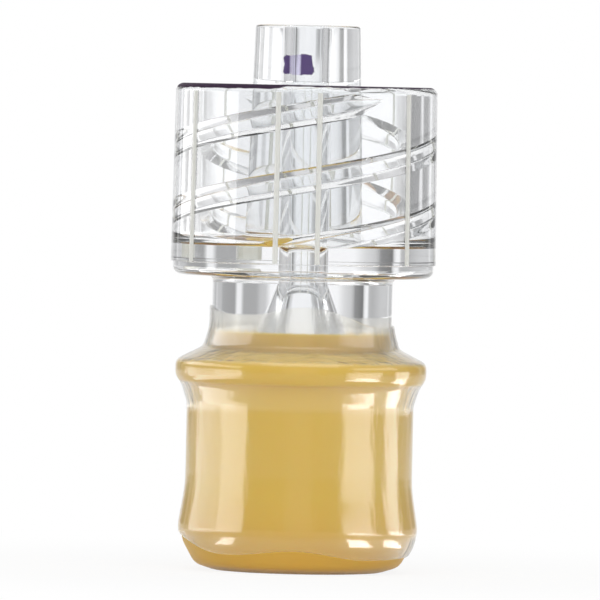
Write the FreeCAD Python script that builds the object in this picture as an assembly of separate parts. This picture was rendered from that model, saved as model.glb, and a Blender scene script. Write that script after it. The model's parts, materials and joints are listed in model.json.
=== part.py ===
import FreeCAD, Part
import math
import os
from FreeCAD import Vector

# Injection cap with a male luer lock.
# A clear moulded body carries the luer tip, the threaded lock collar, the neck and a barrel.
# An amber rubber septum plugs the barrel and folds up over it, and a shrunk film holds the two.
# Millimetres. The origin is the centre of the rubber's flat base, and +Z points to the luer tip.
# The front is -Y. An azimuth is measured from the front, and grows towards +X.

# Luer tip and flow path
tip_top = 20.66
tip_end_radius = 1.98
luer_taper = 0.03
tip_edge_round = 0.10
tip_root_round = 0.50
bore_radius = 0.60
funnel_top = 10.90
funnel_mouth_radius = 1.09

# Lock collar
collar_top = 18.40
collar_floor = 12.30
collar_underside = 11.16
collar_inner_radius = 4.00
collar_top_radius = 4.95
collar_bottom_radius = 5.02
collar_top_round = 0.30
collar_mouth_round = 0.12
collar_floor_round = 0.50
witness_step_height = 11.67
witness_step_depth = 0.08
collar_bottom_round = 0.35

# Double-start lock thread inside the collar
thread_starts = 2
thread_lead = 5.00
thread_crest_radius = 3.50
thread_crest_width = 0.45
thread_base_width = 0.95
thread_first_azimuth = 36.0
thread_top_height = 17.82
thread_bottom_height = 11.95
thread_root_sink = 0.12
thread_nose_inset = 0.005

# Fine upright grip ribs outside the collar, in two like groups
rib_radius = 0.10
rib_azimuths = [-56.8, -12.2, 5.9, 50.6]
rib_groups = 2

# Neck and barrel
neck_radius = 3.41
neck_fillet = 0.25
barrel_bottom = 2.60
barrel_bore_radius = 2.30
barrel_edge_round = 0.15
barrel_ceiling = 9.00

# Rubber septum
sleeve_radius = 4.20
bead_radius = 4.66
bead_inner_height = 8.25
bead_shoulder_height = 7.95
bead_under_height = 7.12
bead_shoulder_round = 0.50
bead_under_round = 0.40
flare_start_height = 3.20
flare_start_round = 5.00
flare_radius = 4.46
flare_height = 1.60
flare_round = 1.50
heel_radius = 4.34
heel_height = 1.05
heel_round = 1.20
toe_radius = 3.88
toe_height = 0.23
toe_round = 0.60
base_flat_radius = 3.15

# Shrunk film, from the neck down over the bead and the waist to the heel
film_thickness = 0.08
film_stock_top = 10.60
film_neck_height = 9.35
film_drape_radius = 3.60
film_drape_height = 8.47
film_shoulder_radius = 4.48
film_shoulder_height = 7.98
film_bead_top = 7.76
film_bead_bottom = 7.43
film_web_radius = 4.45
film_web_height = 7.00
film_waist_height = 6.25
film_cutter_margin = 2.00
film_top_edge = [
    (-90, 10.00), (-60, 9.79), (-40, 9.71), (-25, 9.78), (-5, 10.03), (12, 10.00),
    (28, 9.73), (45, 9.38), (60, 9.26), (90, 9.30), (130, 9.52), (180, 9.62), (225, 9.86),
]
film_bottom_edge = [
    (-90, 1.45), (-72, 1.25), (-48, 0.80), (-30, 0.78), (0, 0.95), (33, 0.65),
    (65, 0.66), (90, 0.74), (135, 1.02), (180, 0.90), (225, 1.18),
]


def tip_radius(height):
    """Radius of the luer cone at a height."""
    return tip_end_radius + luer_taper * (tip_top - height)


def around(radius, azimuth, height):
    """Point at a radius, an azimuth from the front and a height."""
    angle = math.radians(azimuth - 90)
    return Vector(radius * math.cos(angle), radius * math.sin(angle), height)


def section_point(corner):
    """Point of the half section for a corner that starts with radius and height."""
    return Vector(corner[0], 0, corner[1])


def corner_points(before, corner, after):
    """Points along a corner of the half section.

    A corner is (radius, height) where it is sharp, and (radius, height, rounding, bands) where
    it is rounded. The bands are the straight strips that stand for the rounding, few of them,
    so that the meshes made from these solids stay light. One band is a plain bevel.
    """
    point = section_point(corner)
    if len(corner) == 2:
        return [point]
    rounding, bands = corner[2:]
    back = (section_point(before) - point).normalize()
    ahead = (section_point(after) - point).normalize()
    half_angle = back.getAngle(ahead) / 2
    centre = point + (back + ahead).normalize() * (rounding / math.sin(half_angle))
    first = point + back * (rounding / math.tan(half_angle)) - centre
    last = point + ahead * (rounding / math.tan(half_angle)) - centre
    turn = math.pi - 2 * half_angle
    points = []
    for step in range(bands + 1):
        share = step / bands
        spoke = first * math.sin((1 - share) * turn) + last * math.sin(share * turn)
        points.append(centre + spoke * (1 / math.sin(turn)))
    return points


def path_points(corners):
    """Points of the path through sharp and rounded corners."""
    points = [section_point(corners[0])]
    for before, corner, after in zip(corners, corners[1:], corners[2:]):
        points += corner_points(before, corner, after)
    return points + [section_point(corners[-1])]


def parallel_points(points, distance):
    """Points of the path that runs at a distance to the left of a path of lines."""
    moved = []
    last = len(points) - 1
    for index, point in enumerate(points):
        came = point - points[max(index - 1, 0)]
        goes = points[min(index + 1, last)] - point
        if index == 0:
            came = goes
        if index == last:
            goes = came
        came_side = Vector(-came.z, 0, came.x).normalize()
        goes_side = Vector(-goes.z, 0, goes.x).normalize()
        moved.append(point + (came_side + goes_side) * (distance / (1 + came_side.dot(goes_side))))
    return moved


def revolved(points):
    """Solid of revolution about Z from the points of a half section."""
    outline = Part.makePolygon(points + points[:1])
    return Part.Face(outline).revolve(Vector(0, 0, 0), Vector(0, 0, 1), 360)


def body_blank():
    """Tip, collar, neck and barrel as one turned form, before its thread and ribs."""
    step_radius = collar_bottom_radius - witness_step_depth
    corners = [
        (bore_radius, tip_top),
        (tip_end_radius, tip_top, tip_edge_round, 1),
        (tip_radius(collar_floor), collar_floor, tip_root_round, 2),
        (collar_inner_radius, collar_floor, collar_floor_round, 2),
        (collar_inner_radius, collar_top, collar_mouth_round, 1),
        (collar_top_radius, collar_top, collar_top_round, 3),
        (collar_bottom_radius, witness_step_height),
        (step_radius, witness_step_height),
        (step_radius, collar_underside, collar_bottom_round, 2),
        (neck_radius, collar_underside, neck_fillet, 1),
        (neck_radius, barrel_bottom, barrel_edge_round, 1),
        (barrel_bore_radius, barrel_bottom, barrel_edge_round, 1),
        (barrel_bore_radius, barrel_ceiling),
        (funnel_mouth_radius, barrel_ceiling),
        (bore_radius, funnel_top),
    ]
    return revolved(path_points(corners))


def ridge_half_width(radius):
    """Half the width of a thread ridge at a radius, on its straight flanks."""
    flank = (thread_base_width - thread_crest_width) / 2
    depth = collar_inner_radius - thread_crest_radius
    return thread_crest_width / 2 + flank * (radius - thread_crest_radius) / depth


def thread_ridge(top_azimuth):
    """One start of the thread: a helical ridge and the round nose at its upper end."""
    outer = collar_inner_radius + thread_root_sink
    rise = thread_top_height - thread_bottom_height
    helix = Part.makeHelix(thread_lead, rise, collar_inner_radius)
    helix.translate(Vector(0, 0, thread_bottom_height))
    section = Part.makePolygon([
        Vector(outer, 0, thread_bottom_height - ridge_half_width(outer)),
        Vector(thread_crest_radius, 0, thread_bottom_height - thread_crest_width / 2),
        Vector(thread_crest_radius, 0, thread_bottom_height + thread_crest_width / 2),
        Vector(outer, 0, thread_bottom_height + ridge_half_width(outer)),
        Vector(outer, 0, thread_bottom_height - ridge_half_width(outer)),
    ])
    ridge = Part.Wire(helix.Edges).makePipeShell([section], True, True)
    turned = rise / thread_lead * 360
    ridge.rotate(Vector(0, 0, 0), Vector(0, 0, 1), top_azimuth - 90 - turned)
    nose = Part.makeCone(
        ridge_half_width(outer) - thread_nose_inset,
        thread_crest_width / 2 - thread_nose_inset,
        outer - thread_crest_radius - 2 * thread_nose_inset,
        around(outer - thread_nose_inset, top_azimuth, thread_top_height),
        around(-1, top_azimuth, 0),  # it narrows towards the axis
    )
    return [ridge, nose]


def grip_rib(azimuth):
    """One rib: a half-round bar that follows the collar's draft, from the step to the rim."""
    foot = around(collar_bottom_radius, azimuth, witness_step_height)
    head = around(collar_top_radius, azimuth, collar_top - collar_top_round)
    bar = Part.makeCylinder(rib_radius, foot.distanceToPoint(head), foot, head - foot)
    below_step = Part.makeCylinder(
        collar_bottom_radius + 2 * rib_radius, witness_step_depth,
        Vector(0, 0, witness_step_height - witness_step_depth)
    )
    return bar.cut(below_step)


def luer_body():
    """The clear moulding with its thread and grip ribs."""
    additions = []
    for start in range(thread_starts):
        additions += thread_ridge(thread_first_azimuth + start * 360 / thread_starts)
    for group in range(rib_groups):
        for azimuth in rib_azimuths:
            additions.append(grip_rib(azimuth + group * 360 / rib_groups))
    return body_blank().fuse(additions).removeSplitter()


def sleeve_flank():
    """Outside of the sleeve from its straight waist down to the flat base."""
    return [
        (sleeve_radius, flare_start_height, flare_start_round, 1),
        (flare_radius, flare_height, flare_round, 1),
        (heel_radius, heel_height, heel_round, 1),
        (toe_radius, toe_height, toe_round, 2),
        (base_flat_radius, 0),
    ]


def septum():
    """The rubber: plug, thick base, and sleeve with its bead, round the barrel's wall."""
    corners = [
        (0, barrel_ceiling),
        (barrel_bore_radius, barrel_ceiling),
        (barrel_bore_radius, barrel_bottom, barrel_edge_round, 1),
        (neck_radius, barrel_bottom, barrel_edge_round, 1),
        (neck_radius, bead_inner_height),
        (bead_radius, bead_shoulder_height, bead_shoulder_round, 3),
        (bead_radius, bead_under_height, bead_under_round, 3),
        (sleeve_radius, bead_under_height),
    ] + sleeve_flank() + [
        (0, 0),
    ]
    return revolved(path_points(corners))


def wavy_cutter(edge_points, reach):
    """Block that reaches up or down from a wavy level, given as (azimuth, height)."""
    inside = []
    outside = []
    for azimuth, height in edge_points:
        inside.append(around(neck_radius - film_cutter_margin, azimuth, height))
        outside.append(around(bead_radius + film_cutter_margin, azimuth, height))
    curves = []
    for points in (inside, outside):
        curve = Part.BSplineCurve()
        curve.interpolate(points, PeriodicFlag=True)
        curves.append(curve.toShape())
    sheet = Part.makeRuledSurface(curves[0], curves[1])
    return sheet.extrude(Vector(0, 0, reach))


def shrink_band():
    """The film: a thin sleeve on neck, bead and waist, with uneven cut edges."""
    inner = path_points([
        (neck_radius, film_stock_top),
        (neck_radius, film_neck_height),
        (film_drape_radius, film_drape_height),
        (film_shoulder_radius, film_shoulder_height),
        (bead_radius, film_bead_top),
        (bead_radius, film_bead_bottom),
        (film_web_radius, film_web_height),
        (sleeve_radius, film_waist_height),
    ] + sleeve_flank())
    outer = parallel_points(inner, film_thickness)
    film = revolved(inner + outer[::-1])
    film = film.cut(wavy_cutter(film_top_edge, film_stock_top))
    return film.cut(wavy_cutter(film_bottom_edge, -film_stock_top))


def export(name, shape):
    """Write one piece to its own file."""
    solids = shape.Solids
    print(name, "solids", len(solids), "valid", shape.isValid(),
          "volume", round(shape.Volume, 3), "faces", len(shape.Faces))
    if len(solids) == 1:
        shape = solids[0]
    shape.exportStep("parts/" + name + ".step")


os.makedirs("parts", exist_ok=True)
export("luer_body", luer_body())
export("septum", septum())
export("shrink_band", shrink_band())
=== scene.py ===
# Luer-lock injection cap: the looks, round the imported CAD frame.
# Millimetre values below are turned to metres by mm. +Z is the cap's axis, -Y its front.
import json
import math

import bpy
from mathutils import Matrix, Vector

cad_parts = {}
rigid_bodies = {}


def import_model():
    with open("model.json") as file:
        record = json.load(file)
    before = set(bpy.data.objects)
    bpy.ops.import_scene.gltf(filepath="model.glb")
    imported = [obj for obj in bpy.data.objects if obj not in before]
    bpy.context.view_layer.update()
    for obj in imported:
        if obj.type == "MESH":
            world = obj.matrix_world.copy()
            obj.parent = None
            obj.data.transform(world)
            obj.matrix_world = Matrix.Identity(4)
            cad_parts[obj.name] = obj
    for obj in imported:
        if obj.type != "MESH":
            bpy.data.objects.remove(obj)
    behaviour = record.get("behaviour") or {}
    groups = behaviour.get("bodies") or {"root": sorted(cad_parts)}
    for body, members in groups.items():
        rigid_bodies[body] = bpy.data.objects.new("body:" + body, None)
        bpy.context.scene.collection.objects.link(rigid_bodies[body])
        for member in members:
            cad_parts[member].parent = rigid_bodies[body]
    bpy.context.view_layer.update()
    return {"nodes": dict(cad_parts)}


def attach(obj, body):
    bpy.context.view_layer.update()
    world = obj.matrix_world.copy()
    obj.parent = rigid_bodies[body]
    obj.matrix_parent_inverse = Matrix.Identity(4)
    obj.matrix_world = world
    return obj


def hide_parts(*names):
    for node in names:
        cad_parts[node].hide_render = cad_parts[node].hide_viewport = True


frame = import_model()
mm = 0.001
print("frame loaded:", sorted(frame["nodes"]))


# ---- small helpers

def hexColour(text):
    # sRGB hex to the linear values that shader sockets take
    parts = [int(text[i:i + 2], 16) / 255 for i in (1, 3, 5)]
    return (*[c / 12.92 if c <= 0.04045 else ((c + 0.055) / 1.055) ** 2.4 for c in parts], 1.0)


def addNode(tree, kind, settings=None, links=None):
    # settings go to sockets by name, or else to the node's own properties
    node = tree.nodes.new(kind)
    for name, value in (settings or {}).items():
        if hasattr(node, name) and name not in ("name", "location"):
            setattr(node, name, value)
        else:
            node.inputs[name].default_value = value
    for name, source in (links or {}).items():
        tree.links.new(source, node.inputs[name])
    return node


def feed(tree, sockets, values):
    # each value is a socket to link from, a constant, or None to leave the socket alone
    for socket, value in zip(sockets, values):
        if isinstance(value, bpy.types.NodeSocket):
            tree.links.new(value, socket)
        elif value is not None:
            socket.default_value = value


def maths(tree, operation, *values):
    node = addNode(tree, "ShaderNodeMath", {"operation": operation})
    feed(tree, node.inputs, values)
    return node.outputs[0]


def vectorMaths(tree, operation, *values):
    node = addNode(tree, "ShaderNodeVectorMath", {"operation": operation})
    feed(tree, node.inputs, values)
    return node.outputs["Value" if operation == "LENGTH" else "Vector"]


def mapped(tree, value, start, end, low=0.0, high=1.0, smooth=False):
    # a value taken from one range to another, and held at its ends
    node = addNode(tree, "ShaderNodeMapRange", {"interpolation_type": "SMOOTHSTEP" if smooth else "LINEAR"})
    feed(tree, node.inputs, (value, start, end, low, high))
    return node.outputs["Result"]


def blendColours(tree, share, first, second):
    # first and second are colour sockets or hex texts
    mix = addNode(tree, "ShaderNodeMix", {"data_type": "RGBA"})
    colours = [hexColour(c) if isinstance(c, str) else c for c in (first, second)]
    feed(tree, (mix.inputs["Factor"], mix.inputs[6], mix.inputs[7]), (share, *colours))
    return mix.outputs[2]


def roundedPath(corners, stepAngle=9, hold=0.04):
    # corners are (radius, height) or (radius, height, rounding) in mm; roundings become true arcs,
    # and a point just past each arc's ends keeps the straight runs' shading straight
    points = [Vector(corners[0][:2])]
    for before, corner, after in zip(corners, corners[1:], corners[2:]):
        point = Vector(corner[:2])
        rounding = corner[2] if len(corner) > 2 else 0
        if not rounding:
            points.append(point)
            continue
        back = (Vector(before[:2]) - point).normalized()
        ahead = (Vector(after[:2]) - point).normalized()
        half = back.angle(ahead) / 2
        reach = rounding / math.tan(half)
        centre = point + (back + ahead).normalized() * (rounding / math.sin(half))
        first = point + back * reach - centre
        last = point + ahead * reach - centre
        turn = math.pi - 2 * half
        steps = max(2, round(math.degrees(turn) / stepAngle))
        if (point + back * reach - points[-1]).length > 3 * hold:
            points.append(point + back * (reach + hold))
        for step in range(steps + 1):
            share = step / steps
            spoke = (first * math.sin((1 - share) * turn) + last * math.sin(share * turn)) / math.sin(turn)
            points.append(centre + spoke)
        if (Vector(after[:2]) - point).length - reach > 3 * hold:
            points.append(point + ahead * (reach + hold))
    points.append(Vector(corners[-1][:2]))
    return points


def meshObject(name, vertices, faces, materials):
    mesh = bpy.data.meshes.new(name)
    mesh.from_pydata(vertices, [], faces)
    piece = bpy.data.objects.new(name, mesh)
    bpy.context.scene.collection.objects.link(piece)
    for material in materials:
        mesh.materials.append(material)
    return piece


def finishShading(mesh, sharpAngle=32):
    mesh.polygons.foreach_set("use_smooth", [True] * len(mesh.polygons))
    mesh.set_sharp_from_angle(angle=math.radians(sharpAngle))
    mesh.update()


def turnedPiece(name, points, segments, materials):
    # a closed half section turned about Z; points on the axis close as poles
    vertices, rings = [], []
    for point in points:
        if point.x < 1e-6:
            rings.append([len(vertices)] * segments)
            vertices.append((0, 0, point.y * mm))
            continue
        rings.append(list(range(len(vertices), len(vertices) + segments)))
        for i in range(segments):
            turn = 2 * math.pi * i / segments
            vertices.append((point.x * mm * math.cos(turn), point.x * mm * math.sin(turn), point.y * mm))
    faces = []
    for lower, upper in zip(rings, rings[1:] + rings[:1]):
        for i in range(segments):
            j = (i + 1) % segments
            corners = [lower[i], lower[j], upper[j], upper[i]]
            face = [v for k, v in enumerate(corners) if v not in corners[:k]]
            if len(face) > 2:
                faces.append(face)
    piece = meshObject(name, vertices, faces, materials)
    outwards(piece.data)
    finishShading(piece.data)
    return piece


def outwards(mesh):
    # a closed mesh with a negative volume is inside out
    volume = 0.0
    for face in mesh.polygons:
        corners = [mesh.vertices[i].co for i in face.vertices]
        for b, c in zip(corners[1:], corners[2:]):
            volume += corners[0].dot(b.cross(c))
    if volume < 0:
        mesh.flip_normals()


def frozen(piece):
    # the evaluated result as a plain mesh, with the modifiers taken off
    bpy.context.view_layer.update()
    evaluated = piece.evaluated_get(bpy.context.evaluated_depsgraph_get())
    mesh = bpy.data.meshes.new_from_object(evaluated, preserve_all_data_layers=True,
                                           depsgraph=bpy.context.evaluated_depsgraph_get())
    piece.modifiers.clear()
    old = piece.data
    piece.data = mesh
    mesh.name = piece.name
    bpy.data.meshes.remove(old)
    return piece


def newMaterial(name):
    material = bpy.data.materials.new(name)
    material.use_nodes = True
    tree = material.node_tree
    return material, tree, tree.nodes["Principled BSDF"]


def objectPlace(tree):
    return addNode(tree, "ShaderNodeTexCoord").outputs["Object"]


def axes(tree, vector):
    return addNode(tree, "ShaderNodeSeparateXYZ", None, {"Vector": vector}).outputs


def roughen(tree, shader, place, size, detail, strength, depth, harshness=0.5):
    # noise bumps; size and depth in mm
    noise = addNode(tree, "ShaderNodeTexNoise",
                    {"Scale": 1 / (size * mm), "Detail": detail, "Roughness": harshness}, {"Vector": place})
    bump = addNode(tree, "ShaderNodeBump", {"Strength": strength, "Distance": depth * mm},
                   {"Height": noise.outputs["Fac"]})
    tree.links.new(bump.outputs["Normal"], shader.inputs["Normal"])


def mixToOutput(tree, share, first, second):
    mix = addNode(tree, "ShaderNodeMixShader")
    feed(tree, mix.inputs, (share, first.outputs[0], second.outputs[0]))
    tree.links.new(mix.outputs[0], tree.nodes["Material Output"].inputs["Surface"])


def letLightThrough(tree, shader, tint, touching=0.0):
    # lamps and soft light reach what lies under a clear skin; the eye still gets its gloss and bending,
    # less the share that is lost where the skin touches what lies under it
    clear = addNode(tree, "ShaderNodeBsdfTransparent", {"Color": hexColour(tint)})
    rays = addNode(tree, "ShaderNodeLightPath").outputs
    soft = maths(tree, "MAXIMUM", rays["Is Shadow Ray"], rays["Is Diffuse Ray"])
    mixToOutput(tree, maths(tree, "MAXIMUM", soft, touching), shader, clear)


# ---- materials

plasticLook = {
    "colour": "#fbfcfd",
    "shadowTint": "#fafbfb",
    "ior": 1.585,          # polycarbonate
    "flow": {"size": 1.6, "detail": 1.0, "strength": 0.02, "depth": 0.05},
    # each for bare plastic, and for plastic hidden by ink; the little that bare plastic
    # doesn't let through is the faint haze of any moulded clear plastic
    "bareAndInked": {"Roughness": (0.02, 0.55), "Specular IOR Level": (0.5, 0.1),
                     "Transmission Weight": (0.985, 0.05)},
    "ribColour": "#e2e2dc",
    "ribRoughness": 0.38,
    "ribClearness": 0.12,
    "ribGrain": {"size": 0.05, "detail": 2.0, "strength": 0.25, "depth": 0.01},
}


def mouldedPolycarbonate():
    # Polycarbonate, injection moulded in a polished tool: water-clear with a high index, so walls
    # bend what stands behind them, with a very faint flow ripple from the moulding.
    material, tree, shader = newMaterial("polycarbonate_moulded_clear")
    look = plasticLook
    place = objectPlace(tree)
    roughen(tree, shader, place, **look["flow"])
    colour, hidden = inkStain(tree, place)
    tree.links.new(colour, shader.inputs["Base Color"])
    shader.inputs["IOR"].default_value = look["ior"]
    for name, (bare, inked) in look["bareAndInked"].items():
        tree.links.new(mapped(tree, hidden, 0.0, 1.0, bare, inked), shader.inputs[name])
    letLightThrough(tree, shader, look["shadowTint"])
    return material


inkLook = {
    "light": "#c9c0ec",
    "dark": "#342058",
    "rimInk": "#2c1830",
    # the spot, in mm
    "centre": (-0.34, -2.0, 19.17),   # on the front of the tip
    "halfSize": (0.56, 1.0, 0.38),    # across, from front to back, upright
    "cornering": 0.4,
    "raggedness": 0.30,
    "raggedScale": 2.6,               # per mm
    "edge": (0.72, 0.64),             # shares of the half size over which the ink sets in
    "pale": (-0.64, -0.28),           # from and to, across, where the spot is wiped thin
    "paleEdge": (-0.03, 0.05),
    "hiding": 0.6,                    # how much of the plastic the dark ink hides
    # the line along the collar's rim, in mm
    "rimTop": 18.40,
    "rimThick": 0.17,
    "rimThin": 0.07,
    "rimThinning": (-1.3, -0.6),      # from and to, across, where it gets thin
    "rimWander": 0.12,
    "rimEdge": (0.05, 0.08),
    "rimCeiling": 0.02,
    "rimInnerRadius": 4.55,
}


def inkStain(tree, place):
    # Violet marking ink: a ragged spot on the tip's front, and a line along the rim's outer edge.
    # Gives the colour, and how far the ink hides the plastic's gloss and clearness.
    look = inkLook
    small = vectorMaths(tree, "SCALE", place, None, None, 1 / mm)
    ragged = addNode(tree, "ShaderNodeTexNoise", {"Scale": look["raggedScale"], "Detail": 3.0},
                     {"Vector": small}).outputs["Fac"]
    offset = vectorMaths(tree, "SUBTRACT", small, look["centre"])
    sized = vectorMaths(tree, "DIVIDE", offset, look["halfSize"])
    sides = axes(tree, vectorMaths(tree, "ABSOLUTE", sized))
    reach = maths(tree, "SMOOTH_MAX", sides["X"], sides["Z"], look["cornering"])
    reach = maths(tree, "MULTIPLY_ADD", ragged, -2 * look["raggedness"], reach)
    onFront = maths(tree, "LESS_THAN", sides["Y"], 1.0)
    spot = maths(tree, "MULTIPLY", mapped(tree, reach, *look["edge"]), onFront)

    x, z = [axes(tree, small)[name] for name in "XZ"]
    wipedFrom, wipedTo = look["pale"]
    aside = maths(tree, "ABSOLUTE", maths(tree, "SUBTRACT", x, (wipedFrom + wipedTo) / 2))
    deep = mapped(tree, aside, *[(wipedTo - wipedFrom) / 2 + past for past in look["paleEdge"]])
    ink = blendColours(tree, deep, look["light"], look["dark"])
    spotted = blendColours(tree, spot, plasticLook["colour"], ink)

    thick = mapped(tree, x, *look["rimThinning"], look["rimThick"], look["rimThin"])
    line = maths(tree, "ADD", maths(tree, "MULTIPLY_ADD", ragged, look["rimWander"], z), thick)
    rim = mapped(tree, line, *[look["rimTop"] + past for past in look["rimEdge"]])
    radius = vectorMaths(tree, "LENGTH", vectorMaths(tree, "MULTIPLY", small, (1, 1, 0)))
    for mask in (maths(tree, "LESS_THAN", z, look["rimTop"] + look["rimCeiling"]),
                 maths(tree, "GREATER_THAN", radius, look["rimInnerRadius"])):
        rim = maths(tree, "MULTIPLY", rim, mask)
    colour = blendColours(tree, rim, spotted, look["rimInk"])
    thickSpot = maths(tree, "MULTIPLY", maths(tree, "MULTIPLY", spot, deep), look["hiding"])
    return colour, maths(tree, "MAXIMUM", thickSpot, rim)


def frostedRibPlastic():
    # The same polycarbonate where the tool's fine rib grooves aren't polished: slightly frosted
    material, tree, shader = newMaterial("polycarbonate_moulded_frosted_rib")
    look = plasticLook
    roughen(tree, shader, objectPlace(tree), **look["ribGrain"])
    shader.inputs["Base Color"].default_value = hexColour(look["ribColour"])
    shader.inputs["IOR"].default_value = look["ior"]
    shader.inputs["Roughness"].default_value = look["ribRoughness"]
    shader.inputs["Transmission Weight"].default_value = look["ribClearness"]
    return material


rubberLook = {
    "colour": "#e7c358",
    "deepColour": "#dfb151",
    "deepShare": 0.85,     # of the deep colour at the foot
    "deepBelow": 3.0,      # mm
    "cloudSize": 2.5,      # mm
    "cloudShare": 0.3,
    "grain": {"size": 0.12, "detail": 2.0, "strength": 0.12, "depth": 0.01},
    "roughness": 0.45,
    "ior": 1.52,
    "shine": 0.2,          # low, because the clinging film has its gloss instead
    "softness": 0.35,
    "softDepth": 0.9,      # mm that light creeps in, times a share for each colour
    "softColour": (1.0, 0.6, 0.25),
}


def mouldedRubber():
    # Natural rubber, compression moulded: warm amber that light creeps into, a satin skin,
    # a little darker towards the foot.
    material, tree, shader = newMaterial("natural_rubber_moulded_amber")
    look = rubberLook
    place = objectPlace(tree)
    cloud = addNode(tree, "ShaderNodeTexNoise", {"Scale": 1 / (look["cloudSize"] * mm), "Detail": 3.0},
                    {"Vector": place}).outputs["Fac"]
    low = mapped(tree, axes(tree, place)["Z"], 0.0, look["deepBelow"] * mm, look["deepShare"], 0.0)
    deep = maths(tree, "MULTIPLY_ADD", cloud, look["cloudShare"], low)
    tree.links.new(blendColours(tree, deep, look["colour"], look["deepColour"]), shader.inputs["Base Color"])
    roughen(tree, shader, place, **look["grain"])
    shader.inputs["Roughness"].default_value = look["roughness"]
    shader.inputs["IOR"].default_value = look["ior"]
    shader.inputs["Specular IOR Level"].default_value = look["shine"]
    shader.inputs["Subsurface Weight"].default_value = look["softness"]
    shader.inputs["Subsurface Radius"].default_value = look["softColour"]
    shader.inputs["Subsurface Scale"].default_value = look["softDepth"] * mm
    return material


filmLook = {
    "colour": "#fcfbf7",
    "shadowTint": "#fcfcfa",
    "ior": 1.54,
    "roughness": 0.15,
    "drawn": (1.0, 1.0, 0.22),    # the ripples run upright
    "ripple": {"size": 0.9, "detail": 3.0, "strength": 0.45, "depth": 0.08, "harshness": 0.55},
    # heights (mm) over which the film comes to cling to the rubber, and over which it leaves it again
    "clings": [((1.20, 1.60), (5.95, 6.35)), ((7.10, 7.25), (7.80, 7.95))],
}


def shrunkFilm():
    # Thin clear heat-shrink film: glossy and pulled tight, with faint upright ripples where it shrank
    material, tree, shader = newMaterial("shrink_film_clear")
    look = filmLook
    place = objectPlace(tree)
    drawn = addNode(tree, "ShaderNodeMapping", {"Scale": look["drawn"]}, {"Vector": place})
    roughen(tree, shader, drawn.outputs["Vector"], **look["ripple"])
    shader.inputs["Base Color"].default_value = hexColour(look["colour"])
    shader.inputs["IOR"].default_value = look["ior"]
    shader.inputs["Roughness"].default_value = look["roughness"]
    shader.inputs["Transmission Weight"].default_value = 1.0
    letLightThrough(tree, shader, look["shadowTint"], wetInnerFace(tree, place, look["clings"]))
    return material


def wetInnerFace(tree, place, clings):
    # the share of a face turned to the rubber that has no gloss, because the two touch
    height = axes(tree, place)["Z"]
    touching = 0.0
    for foot, head in clings:
        above = mapped(tree, height, foot[0] * mm, foot[1] * mm, smooth=True)
        below = mapped(tree, height, head[1] * mm, head[0] * mm, smooth=True)
        touching = maths(tree, "MAXIMUM", maths(tree, "MULTIPLY", above, below), touching)
    inner = addNode(tree, "ShaderNodeNewGeometry").outputs["Backfacing"]
    return maths(tree, "MULTIPLY", inner, touching)


clearPlastic = mouldedPolycarbonate()
ribPlastic = frostedRibPlastic()
amberRubber = mouldedRubber()
clearFilm = shrunkFilm()
print("materials ready")


# ---- clear body: tip, lock collar, neck and barrel, turned from one half section

bodySizes = {
    "tipTop": 20.66,
    "tipEndRadius": 1.98,
    "taper": 0.03,
    "boreRadius": 0.60,
    "funnelTop": 10.90,
    "funnelMouthRadius": 1.09,
    "collarTop": 18.40,
    "collarFloor": 12.30,
    "footRound": 0.45,
    "collarUnderside": 11.16,
    "wallRadius": 4.00,
    "topRadius": 4.95,
    "bottomRadius": 5.02,
    "stepHeight": 11.67,
    "stepDepth": 0.08,
    "neckRadius": 3.41,
    "barrelBottom": 2.60,
    "barrelBore": 2.30,
    "ceiling": 9.00,
    "segments": 256,
    "sharpAngle": 28,
}


def bodyBlank():
    s = bodySizes
    tipRoot = s["tipEndRadius"] + s["taper"] * (s["tipTop"] - s["collarFloor"])
    step = s["bottomRadius"] - s["stepDepth"]
    corners = [
        (s["boreRadius"], 15.0),
        (s["boreRadius"], s["tipTop"], 0.05),
        (s["tipEndRadius"], s["tipTop"], 0.10),
        (tipRoot, s["collarFloor"], 0.50),
        (s["wallRadius"], s["collarFloor"], s["footRound"]),
        (s["wallRadius"], s["collarTop"], 0.12),
        (s["topRadius"], s["collarTop"], 0.30),
        (s["bottomRadius"], s["stepHeight"], 0.02),
        (step, s["stepHeight"], 0.02),
        (step, s["collarUnderside"], 0.35),
        (s["neckRadius"], s["collarUnderside"], 0.25),
        (s["neckRadius"], s["barrelBottom"], 0.15),
        (s["barrelBore"], s["barrelBottom"], 0.15),
        (s["barrelBore"], s["ceiling"]),
        (s["funnelMouthRadius"], s["ceiling"]),
        (s["boreRadius"], s["funnelTop"]),
    ]
    closed = roundedPath(corners + corners[:1])[:-1]
    return turnedPiece("clear_body", closed, s["segments"], [clearPlastic, ribPlastic])


threadSizes = {
    "lead": 5.00,
    "starts": 2,
    "crestRadius": 3.50,
    "crestWidth": 0.45,
    "baseWidth": 0.95,
    "crestRound": 0.11,
    "roundSteps": 4,
    "firstAzimuth": 44.0,
    "topHeight": 17.93,
    "bottomHeight": 11.95,
    "rootSink": 0.12,
    "runOut": 0.055,         # share of the ridge's length that fades into the wall
    "runOutEnd": 0.14,       # what is left of its section there
    "resolution": 160,
}


def addInputs(tree, kind, *names):
    for name in names:
        tree.interface.new_socket(name, in_out="INPUT", socket_type=kind)


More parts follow.
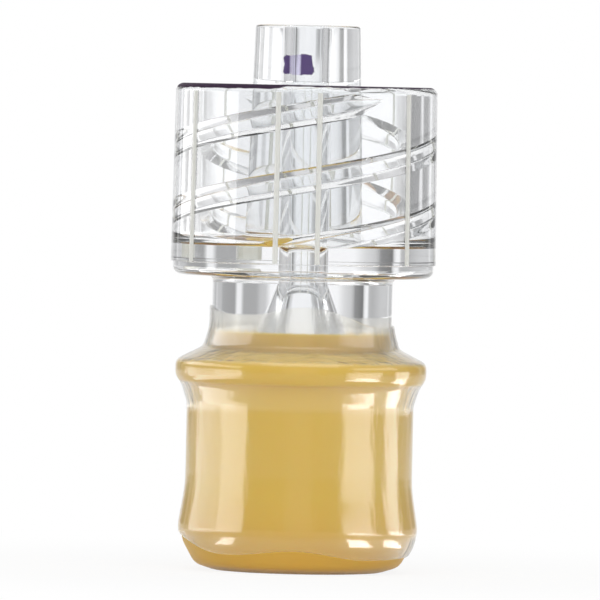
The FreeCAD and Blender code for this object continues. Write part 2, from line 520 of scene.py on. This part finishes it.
def threadTree():
    # One helical ridge that runs out into the wall at its upper end, copied round the axis for each start
    tree = bpy.data.node_groups.new("lockThread", "GeometryNodeTree")
    addInputs(tree, "NodeSocketFloat", "Root Radius", "Turns", "Rise", "Foot Height", "Depth", "Crest Width",
              "Base Width", "Crest Round", "First Turn", "Run Out")
    addInputs(tree, "NodeSocketInt", "Starts")
    addInputs(tree, "NodeSocketMaterial", "Plastic")
    tree.interface.new_socket("Thread", in_out="OUTPUT", socket_type="NodeSocketGeometry")
    given = addNode(tree, "NodeGroupInput").outputs
    spiral = addNode(tree, "GeometryNodeCurveSpiral",
                     {"Resolution": threadSizes["resolution"], "Reverse": True},
                     {"Rotations": given["Turns"], "Start Radius": given["Root Radius"],
                      "End Radius": given["Root Radius"], "Height": given["Rise"]})
    upright = addNode(tree, "GeometryNodeSetCurveNormal", {"mode": "Z_UP"}, {"Curve": spiral.outputs[0]})
    along = addNode(tree, "GeometryNodeSplineParameter").outputs["Factor"]
    runStart = maths(tree, "SUBTRACT", 1.0, given["Run Out"])
    runOut = mapped(tree, along, runStart, 1.0, 1.0, threadSizes["runOutEnd"], smooth=True)
    section = addNode(tree, "GeometryNodeCurvePrimitiveQuadrilateral", {"mode": "TRAPEZOID", "Offset": 0},
                      {"Height": given["Depth"], "Bottom Width": given["Base Width"],
                       "Top Width": given["Crest Width"]})
    softened = addNode(tree, "GeometryNodeFilletCurve",
                       {"mode": "POLY", "Count": threadSizes["roundSteps"], "Limit Radius": True},
                       {"Curve": section.outputs[0], "Radius": given["Crest Round"]})
    half = maths(tree, "MULTIPLY", given["Depth"], 0.5)
    inward = addNode(tree, "ShaderNodeCombineXYZ", None, {"Y": half})
    onRoot = addNode(tree, "GeometryNodeTransform", None,
                     {"Geometry": softened.outputs[0], "Translation": inward.outputs[0]})
    laid = addNode(tree, "GeometryNodeTransform", {"Rotation": (0, 0, math.radians(90))},
                   {"Geometry": onRoot.outputs[0]})
    ridge = addNode(tree, "GeometryNodeCurveToMesh", {"Fill Caps": True},
                    {"Curve": upright.outputs[0], "Profile Curve": laid.outputs[0], "Scale": runOut})
    lift = addNode(tree, "ShaderNodeCombineXYZ", None, {"Z": given["Foot Height"]})
    oneStart = addNode(tree, "GeometryNodeTransform", None,
                       {"Geometry": ridge.outputs[0], "Translation": lift.outputs[0]})
    asInstance = addNode(tree, "GeometryNodeGeometryToInstance", None, {"Geometry": oneStart.outputs[0]})
    copies = addNode(tree, "GeometryNodeDuplicateElements", {"domain": "INSTANCE"},
                     {"Geometry": asInstance.outputs[0], "Amount": given["Starts"]})
    share = maths(tree, "DIVIDE", copies.outputs["Duplicate Index"], given["Starts"])
    turned = maths(tree, "MULTIPLY_ADD", share, 2 * math.pi, given["First Turn"])
    turnAxis = addNode(tree, "ShaderNodeCombineXYZ", None, {"Z": turned})
    spread = addNode(tree, "GeometryNodeRotateInstances", {"Local Space": False},
                     {"Instances": copies.outputs[0], "Rotation": turnAxis.outputs[0]})
    real = addNode(tree, "GeometryNodeRealizeInstances", None, {"Geometry": spread.outputs[0]})
    coated = addNode(tree, "GeometryNodeSetMaterial", None,
                     {"Geometry": real.outputs[0], "Material": given["Plastic"]})
    addNode(tree, "NodeGroupOutput", None, {"Thread": coated.outputs[0]})
    return tree


ribSizes = {
    "azimuths": [-56.8, -12.2, 5.9, 50.6],   # degrees from the front, towards +X
    "groups": 2,
    "radius": 0.10,
    "sides": 20,
    "footHeight": 11.69,
    "headHeight": 18.12,
}


def ribTree():
    # A round bar on every point, leaning with the collar's draft
    tree = bpy.data.node_groups.new("gripRibs", "GeometryNodeTree")
    addInputs(tree, "NodeSocketGeometry", "Feet")
    addInputs(tree, "NodeSocketFloat", "Bar Radius", "Bar Length", "Draft")
    addInputs(tree, "NodeSocketMaterial", "Plastic")
    tree.interface.new_socket("Ribs", in_out="OUTPUT", socket_type="NodeSocketGeometry")
    given = addNode(tree, "NodeGroupInput").outputs
    bar = addNode(tree, "GeometryNodeMeshCylinder", {"Vertices": ribSizes["sides"]},
                  {"Radius": given["Bar Radius"], "Depth": given["Bar Length"]})
    half = maths(tree, "MULTIPLY", given["Bar Length"], 0.5)
    lift = addNode(tree, "ShaderNodeCombineXYZ", None, {"Z": half})
    standing = addNode(tree, "GeometryNodeTransform", None,
                       {"Geometry": bar.outputs[0], "Translation": lift.outputs[0]})
    place = addNode(tree, "GeometryNodeInputPosition").outputs[0]
    out = vectorMaths(tree, "NORMALIZE", vectorMaths(tree, "MULTIPLY", place, (1, 1, 0)))
    lean = vectorMaths(tree, "SCALE", out, None, None, given["Draft"])
    up = vectorMaths(tree, "ADD", lean, (0, 0, 1))
    aim = addNode(tree, "FunctionNodeAlignRotationToVector", {"axis": "Z"}, {"Vector": up})
    bars = addNode(tree, "GeometryNodeInstanceOnPoints", None,
                   {"Points": given["Feet"], "Instance": standing.outputs[0], "Rotation": aim.outputs[0]})
    real = addNode(tree, "GeometryNodeRealizeInstances", None, {"Geometry": bars.outputs[0]})
    coated = addNode(tree, "GeometryNodeSetMaterial", None,
                     {"Geometry": real.outputs[0], "Material": given["Plastic"]})
    addNode(tree, "NodeGroupOutput", None, {"Ribs": coated.outputs[0]})
    return tree


def grown(name, tree, values, vertices=()):
    # a tree's result as a plain mesh object; inputs are set by identifier before the first evaluation
    mesh = bpy.data.meshes.new(name)
    mesh.from_pydata(list(vertices), [], [])
    piece = bpy.data.objects.new(name, mesh)
    bpy.context.scene.collection.objects.link(piece)
    modifier = piece.modifiers.new(tree.name, "NODES")
    modifier.node_group = tree
    for item in tree.interface.items_tree:
        if item.item_type == "SOCKET" and item.in_out == "INPUT" and item.name in values:
            modifier[item.identifier] = values[item.name]
    return frozen(piece)


def makeThread():
    t, wall = threadSizes, bodySizes["wallRadius"]
    outer = wall + t["rootSink"]
    depth = outer - t["crestRadius"]
    rise = t["topHeight"] - t["bottomHeight"]
    turns = rise / t["lead"]
    slope = (t["baseWidth"] - t["crestWidth"]) / (wall - t["crestRadius"])
    return grown("lock_thread", threadTree(), {
        "Root Radius": outer * mm,
        "Run Out": t["runOut"],
        "Turns": turns,
        "Rise": rise * mm,
        "Foot Height": t["bottomHeight"] * mm,
        "Depth": depth * mm,
        "Crest Width": t["crestWidth"] * mm,
        "Base Width": (t["crestWidth"] + slope * depth) * mm,
        "Crest Round": t["crestRound"] * mm,
        "First Turn": math.radians(t["firstAzimuth"] - 90) - 2 * math.pi * turns,
        "Starts": t["starts"],
        "Plastic": clearPlastic,
    })


def makeRibs():
    r, b = ribSizes, bodySizes
    draft = (b["topRadius"] - b["bottomRadius"]) / (b["collarTop"] - b["stepHeight"])
    feet = []
    for group in range(r["groups"]):
        for azimuth in r["azimuths"]:
            turn = math.radians(azimuth - 90 + 360 * group / r["groups"])
            reach = b["bottomRadius"] + draft * (r["footHeight"] - b["stepHeight"])
            feet.append((reach * mm * math.cos(turn), reach * mm * math.sin(turn), r["footHeight"] * mm))
    return grown("grip_ribs", ribTree(), {
        "Bar Radius": r["radius"] * mm,
        "Bar Length": (r["headHeight"] - r["footHeight"]) * mm,
        "Draft": draft,
        "Plastic": ribPlastic,
    }, feet)


def mouldTogether(body, additions):
    # thread and ribs are one moulding with the body, so they are united with it
    for piece in additions:
        union = body.modifiers.new(piece.name, "BOOLEAN")
        union.operation = "UNION"
        union.solver = "EXACT"
        union.material_mode = "TRANSFER"
        union.object = piece
    frozen(body)
    for piece in additions:
        mesh = piece.data
        bpy.data.objects.remove(piece)
        bpy.data.meshes.remove(mesh)
    finishShading(body.data, bodySizes["sharpAngle"])


clearBody = bodyBlank()
thread = makeThread()
ribs = makeRibs()
print("thread and ribs:", len(thread.data.polygons), len(ribs.data.polygons), "faces")
mouldTogether(clearBody, [thread, ribs])
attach(clearBody, "root")
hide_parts("luer_body")
print("clear body:", len(clearBody.data.polygons), "faces")


# ---- rubber septum: plug, base and folded sleeve with its bead

septumSizes = {
    "plugRadius": 2.32,      # pressed 0.02 into the barrel's wall, as tight rubber wets plastic
    "slotBottom": 2.62,
    "slotOuter": 3.39,
    "slotRound": 0.13,
    "plugTop": 9.02,
    "sleeveRadius": 4.20,
    "sleeveTop": 8.25,
    "beadRadius": 4.66,
    "beadTop": 7.95,
    "beadBottom": 7.12,
    "segments": 192,
}


def flankCorners():
    # the sleeve's waist and rounded foot, down to the flat
    return [
        (septumSizes["sleeveRadius"], 3.20, 5.0),
        (4.46, 1.60, 1.5),
        (4.34, 1.05, 1.2),
        (3.88, 0.23, 0.6),
        (3.15, 0.0, 1.0),
    ]


def makeSeptum():
    s = septumSizes
    corners = [
        (0, s["plugTop"]),
        (s["plugRadius"], s["plugTop"], 0.05),
        (s["plugRadius"], s["slotBottom"], s["slotRound"]),
        (s["slotOuter"], s["slotBottom"], s["slotRound"]),
        (s["slotOuter"], s["sleeveTop"], 0.04),
        (s["beadRadius"], s["beadTop"], 0.50),
        (s["beadRadius"], s["beadBottom"], 0.40),
        (s["sleeveRadius"], s["beadBottom"]),
    ] + flankCorners() + [(0, 0)]
    return turnedPiece("rubber_septum", roundedPath(corners), s["segments"], [amberRubber])


rubberSeptum = makeSeptum()
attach(rubberSeptum, "root")
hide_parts("septum")
print("septum:", len(rubberSeptum.data.polygons), "faces")


# ---- shrunk film over neck, bead and sleeve

filmSizes = {
    "thickness": 0.08,
    "lift": 0.015,           # clear of the rubber, so the two surfaces never coincide
    "segments": 240,
    "rows": 110,
    "sharpAngle": 40,
    "topEdge": [
        (-90, 10.00), (-60, 9.79), (-40, 9.71), (-25, 9.78), (-5, 10.03), (12, 10.00),
        (28, 9.73), (45, 9.38), (60, 9.26), (90, 9.30), (130, 9.52), (180, 9.62), (225, 9.86),
    ],
    "bottomEdge": [
        (-90, 1.45), (-72, 1.25), (-48, 0.80), (-30, 0.78), (0, 0.95), (33, 0.65),
        (65, 0.66), (90, 0.74), (135, 1.02), (180, 0.90), (225, 1.18),
    ],
}


def edgeHeight(marks, azimuth):
    # smooth closed curve through the marks (azimuth, height)
    azimuth = (azimuth + 90) % 360 - 90
    count = len(marks)
    for k in range(count):
        here, there = marks[k], marks[(k + 1) % count]
        start = here[0]
        end = there[0] + (360 if k == count - 1 else 0)
        if start <= azimuth <= end:
            before, after = marks[k - 1], marks[(k + 2) % count]
            share = (azimuth - start) / (end - start)
            spanBefore = (start - before[0]) % 360
            spanAfter = (after[0] - end) % 360
            slopeHere = (there[1] - before[1]) / (end - start + spanBefore) * (end - start)
            slopeThere = (after[1] - here[1]) / (end - start + spanAfter) * (end - start)
            a, b = 2 * share ** 3 - 3 * share ** 2 + 1, share ** 3 - 2 * share ** 2 + share
            c, d = -2 * share ** 3 + 3 * share ** 2, share ** 3 - share ** 2
            return a * here[1] + b * slopeHere + c * there[1] + d * slopeThere
    return marks[0][1]


def filmPath():
    # down the neck, over the bead and on a web across to the sleeve
    neck, bead, sleeve = bodySizes["neckRadius"], septumSizes["beadRadius"], septumSizes["sleeveRadius"]
    return roundedPath([
        (neck, 10.60),
        (neck, 9.20, 2.0),
        (3.64, 8.40, 0.4),
        (bead, 7.88, 0.25),
        (bead, 7.40, 0.4),
        (4.42, 7.00, 0.5),
        (sleeve, 6.35, 0.9),
    ] + flankCorners(), 4)


def sideOffset(points, distance):
    # the path moved outwards by a distance
    moved = []
    for i, point in enumerate(points):
        along = points[min(i + 1, len(points) - 1)] - points[max(i - 1, 0)]
        side = Vector((-along.y, along.x)).normalized()
        moved.append(point + side * distance)
    return moved


def makeFilm():
    f = filmSizes
    drawn = filmPath()
    path = drawn[:1] + [p for before, p in zip(drawn, drawn[1:]) if (p - before).length > 1e-5]
    inner = sideOffset(path, f["lift"])
    outer = sideOffset(path, f["lift"] + f["thickness"])
    lengths = [0.0]
    for a, b in zip(path, path[1:]):
        lengths.append(lengths[-1] + (b - a).length)

    def alongPath(side, length):
        for i in range(len(path) - 1):
            if lengths[i + 1] >= length:
                share = (length - lengths[i]) / (lengths[i + 1] - lengths[i])
                return side[i].lerp(side[i + 1], share)
        return side[-1]

    def lengthAt(height):
        for i in range(len(path) - 1):
            if path[i + 1].y <= height:
                share = (path[i].y - height) / max(path[i].y - path[i + 1].y, 1e-9)
                return lengths[i] + share * (lengths[i + 1] - lengths[i])
        return lengths[-1]

    vertices, faces = [], []
    rows = f["rows"]
    ring = 2 * (rows + 1)
    for i in range(f["segments"]):
        azimuth = 360 * i / f["segments"]
        turn = math.radians(azimuth - 90)
        top = lengthAt(edgeHeight(f["topEdge"], azimuth))
        bottom = lengthAt(edgeHeight(f["bottomEdge"], azimuth))
        column = []
        for side, order in ((outer, range(rows + 1)), (inner, range(rows, -1, -1))):
            for k in order:
                column.append(alongPath(side, top + (bottom - top) * k / rows))
        for point in column:
            vertices.append((point.x * mm * math.cos(turn), point.x * mm * math.sin(turn), point.y * mm))
    for i in range(f["segments"]):
        j = (i + 1) % f["segments"]
        for k in range(ring):
            m = (k + 1) % ring
            faces.append([i * ring + k, i * ring + m, j * ring + m, j * ring + k])
    piece = meshObject("shrink_film", vertices, faces, [clearFilm])
    outwards(piece.data)
    finishShading(piece.data, f["sharpAngle"])
    return piece


shrinkFilm = makeFilm()
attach(shrinkFilm, "root")
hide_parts("shrink_band")
print("film:", len(shrinkFilm.data.polygons), "faces")


# ---- studio: pale floor, white surroundings, soft lamps, camera

studio = {
    "floorColour": "#f4f4f3",
    "floorGlow": 0.88,        # how much of the floor's white is its own beside the part
    "shadowReach": 30.0,      # mm, past which the floor is plain white
    "floorHalfSize": 0.15,    # m
    "floorRoughness": 0.9,
    "glowFrom": 4.0,          # mm
    "roomLight": (0.15, 1.45),    # soft light from the sides, and from the front and the backdrop
    "cornice": "#c4c6c8",     # the dim band between walls and ceiling
    "ceiling": "#f4f4f4",
    "corniceFoot": (0.37, 0.43),      # sines of elevation between which each follows the one below
    "ceilingFoot": (0.66, 0.72),
    # what gloss and clear plastic see round them, by azimuth from the backdrop towards +X:
    # the white backdrop, black flags and light strips beside it, grey walls, the dim front
    "roomRing": [
        (-180, 0.75), (-168, 0.75), (-163, 0.30), (-120, 0.40), (-75, 0.66), (-56, 0.62), (-43, 0.45),
        (-39.5, 0.50), (-38, 1.0), (-35.5, 1.0), (-34, 0.15), (-28, 0.26), (-26, 0.60), (-21, 0.75),
        (-17, 1.0), (16, 1.0), (17.5, 0.62), (22, 0.55), (23, 0.40), (33, 0.40), (34.5, 0.95),
        (38.5, 0.95), (40, 0.33), (56, 0.33), (59, 0.50), (75, 0.62), (120, 0.40), (163, 0.30),
        (168, 0.75), (180, 0.75),
    ],
    # the same below the horizon, where the white table reaches further to the right
    "tableRing": [
        (-180, 0.75), (-168, 0.75), (-163, 0.30), (-120, 0.40), (-75, 0.72), (-56, 0.68), (-43, 0.52),
        (-39.5, 0.55), (-38, 1.0), (-35.5, 1.0), (-34, 0.20), (-30, 0.25), (-28, 0.72), (-24, 0.95),
        (-20, 1.0), (33, 1.0), (35, 0.66), (39, 0.66), (41, 1.0), (47, 1.0), (49, 0.36), (58, 0.36),
        (62, 0.58), (75, 0.62), (120, 0.40), (163, 0.30), (168, 0.75), (180, 0.75),
    ],
    "coolness": 1.01,                 # blue against red and green in both rings
    "horizon": (-0.0340, -0.0322),    # sines of elevation between which the two rings meet
}


def floorMaterial():
    # white studio acrylic: keeps a soft shadow under the part, and is plain white away from it
    material, tree, shader = newMaterial("studio_acrylic_white")
    shader.inputs["Base Color"].default_value = hexColour(studio["floorColour"])
    shader.inputs["Roughness"].default_value = studio["floorRoughness"]
    shader.inputs["Specular IOR Level"].default_value = 0.0
    glow = addNode(tree, "ShaderNodeEmission", {"Color": (1, 1, 1, 1), "Strength": 1.0})
    away = vectorMaths(tree, "LENGTH", objectPlace(tree))
    white = mapped(tree, away, studio["glowFrom"] * mm, studio["shadowReach"] * mm,
                   studio["floorGlow"], 1.0, smooth=True)
    rays = addNode(tree, "ShaderNodeLightPath").outputs
    seen = maths(tree, "MAXIMUM", rays["Is Camera Ray"], bentRays(tree, rays))
    mixToOutput(tree, maths(tree, "MULTIPLY", seen, white), shader, glow)
    return material


def bentRays(tree, rays):
    return maths(tree, "MAXIMUM", rays["Is Glossy Ray"], rays["Is Transmission Ray"])


def makeFloor():
    size = studio["floorHalfSize"]
    corners = [(-size, -size, 0), (size, -size, 0), (size, size, 0), (-size, size, 0)]
    floor = meshObject("studio_floor", corners, [(0, 1, 2, 3)], [floorMaterial()])


def ringRamp(tree, marks, turn):
    ramp = addNode(tree, "ShaderNodeValToRGB", None, {"Fac": turn})
    elements = ramp.color_ramp.elements
    for i, (degrees, level) in enumerate(marks):
        share = (degrees + 180) / 360
        element = elements[i] if i < 2 else elements.new(share)
        element.position = share
        element.color = (level, level, level * studio["coolness"], 1)
    return ramp.outputs["Color"]


def makeWorld():
    world = bpy.data.worlds.new("studio")
    bpy.context.scene.world = world
    world.use_nodes = True
    tree = world.node_tree
    rays = addNode(tree, "ShaderNodeLightPath").outputs
    direction = axes(tree, addNode(tree, "ShaderNodeTexCoord").outputs["Generated"])
    # soft light on matt things
    plain = tree.nodes["Background"]
    plain.inputs["Color"].default_value = (1, 1, 1, 1)
    forward = maths(tree, "MULTIPLY", direction["Y"], direction["Y"])
    tree.links.new(mapped(tree, forward, 0.0, 1.0, *studio["roomLight"]), plain.inputs["Strength"])
    # what gloss and clear plastic show
    azimuth = maths(tree, "ARCTAN2", direction["X"], direction["Y"])
    turn = mapped(tree, azimuth, -math.pi, math.pi)
    around = ringRamp(tree, studio["tableRing"], turn)
    for foot, higher in ((studio["horizon"], ringRamp(tree, studio["roomRing"], turn)),
                         (studio["corniceFoot"], studio["cornice"]),
                         (studio["ceilingFoot"], studio["ceiling"])):
        around = blendColours(tree, mapped(tree, direction["Z"], *foot, smooth=True), around, higher)
    reflected = addNode(tree, "ShaderNodeBackground", {"Strength": 1.0}, {"Color": around})
    # the plain white behind the part
    white = addNode(tree, "ShaderNodeBackground", {"Color": (1, 1, 1, 1), "Strength": 1.0})
    first, second = (addNode(tree, "ShaderNodeMixShader") for _ in range(2))
    feed(tree, first.inputs, (bentRays(tree, rays), plain.outputs[0], reflected.outputs[0]))
    feed(tree, second.inputs, (rays["Is Camera Ray"], first.outputs[0], white.outputs[0]))
    tree.links.new(second.outputs[0], tree.nodes["World Output"].inputs["Surface"])


lamps = [
    # upright panels, for gloss only: name, azimuth from the front, distance, width, lowest and
    # highest edge (m), radiance; the windows are for the gloss on the collar
    ("window_left", -93, 0.025, 0.036, 0.0125, 0.022, 3.2),
    ("window_right", 70, 0.025, 0.022, 0.0125, 0.022, 2.6),
    # and the low cards for the gloss on the film
    ("card_left_near", -66, 0.025, 0.012, 0.0, 0.0084, 5.0),
    ("card_left_far", -100, 0.025, 0.019, 0.0, 0.0084, 2.8),
    ("card_right_near", 57.6, 0.025, 0.0148, 0.0, 0.0084, 4.5),
    ("card_right_far", 100, 0.025, 0.0088, 0.0, 0.0084, 4.4),
]

tableCards = [
    # cards lying on the table, for gloss that faces down: name, azimuth from the front, nearest and
    # farthest end (m), width, radiance
    ("table_card_left", -84, 0.0135, 0.028, 0.018, 4.0),
    ("table_card_right_near", 57.6, 0.0135, 0.028, 0.0085, 11.0),
    ("table_card_right_far", 100, 0.0135, 0.028, 0.0055, 9.0),
    ("foot_card_left", -50, 0.0055, 0.0075, 0.0014, 8.0),
    ("foot_card_right_near", 42, 0.0055, 0.0075, 0.0018, 14.0),
    ("foot_card_right_far", 74, 0.0055, 0.0075, 0.0022, 9.0),
]

overhead = {
    "size": 0.25,             # m, as the places below
    "radiance": 1.6,
    "place": (0, -0.08, 0.25),
    "towards": (0, 0, 0.009),
}
cardHeight = 0.0003           # just over the table


def makePanel(name, width, height, radiance, place, towards):
    data = bpy.data.lights.new(name, "AREA")
    data.shape = "RECTANGLE"
    data.size, data.size_y = width, height
    # an area lamp's radiance is power / (area * pi)
    data.energy = radiance * width * height * math.pi
    lamp = bpy.data.objects.new(name, data)
    lamp.location = place
    lamp.rotation_euler = (towards - place).to_track_quat("-Z", "Y").to_euler()
    lamp.visible_camera = False
    lamp.visible_transmission = False
    bpy.context.scene.collection.objects.link(lamp)
    return lamp


def outFrom(azimuth, distance, height):
    turn = math.radians(azimuth)
    return Vector((math.sin(turn) * distance, -math.cos(turn) * distance, height))


def makeLamps():
    for name, azimuth, distance, width, low, high, radiance in lamps:
        place = outFrom(azimuth, distance, (low + high) / 2)
        panel = makePanel(name, width, high - low, radiance, place, Vector((0, 0, place.z)))
        panel.visible_diffuse = False
    for name, azimuth, near, far, width, radiance in tableCards:
        place = outFrom(azimuth, (near + far) / 2, cardHeight)
        card = makePanel(name, width, far - near, radiance, place, place + Vector((0, 0, 1)))
        lying = Matrix.Rotation(math.radians(azimuth), 3, "Z") @ Matrix.Rotation(math.pi, 3, "X")
        card.rotation_euler = lying.to_euler()
        card.visible_diffuse = False
    makePanel("overhead", overhead["size"], overhead["size"], overhead["radiance"],
              Vector(overhead["place"]), Vector(overhead["towards"]))


view = {
    "distance": 400.0,        # mm
    "height": 18.4,
    "target": (-0.091, 0.0, 10.263),
    "pixelsPerMm": 26.4,
    "roll": 0.0218,
    "sensor": 36.0,
    "picture": 600,           # pixels across
    "clip": (0.01, 5.0),      # m
}


def makeCamera():
    data = bpy.data.cameras.new("camera")
    camera = bpy.data.objects.new("camera", data)
    bpy.context.scene.collection.objects.link(camera)
    place = Vector((0, -view["distance"], view["height"])) * mm
    target = Vector(view["target"]) * mm
    aim = (target - place).to_track_quat("-Z", "Y").to_matrix().to_4x4()
    camera.matrix_world = Matrix.Translation(place) @ aim @ Matrix.Rotation(view["roll"], 4, "Z")
    data.sensor_width = view["sensor"]
    data.lens = view["sensor"] * (target - place).length / mm * view["pixelsPerMm"] / view["picture"]
    data.clip_start, data.clip_end = view["clip"]
    bpy.context.scene.camera = camera


makeFloor()
makeWorld()
makeLamps()
makeCamera()
scene = bpy.context.scene
scene.view_settings.view_transform = "Standard"
# clear walls stand inside clear walls, so light needs this many turns to get out
scene.cycles.max_bounces = scene.cycles.transmission_bounces = 40
print("studio ready")
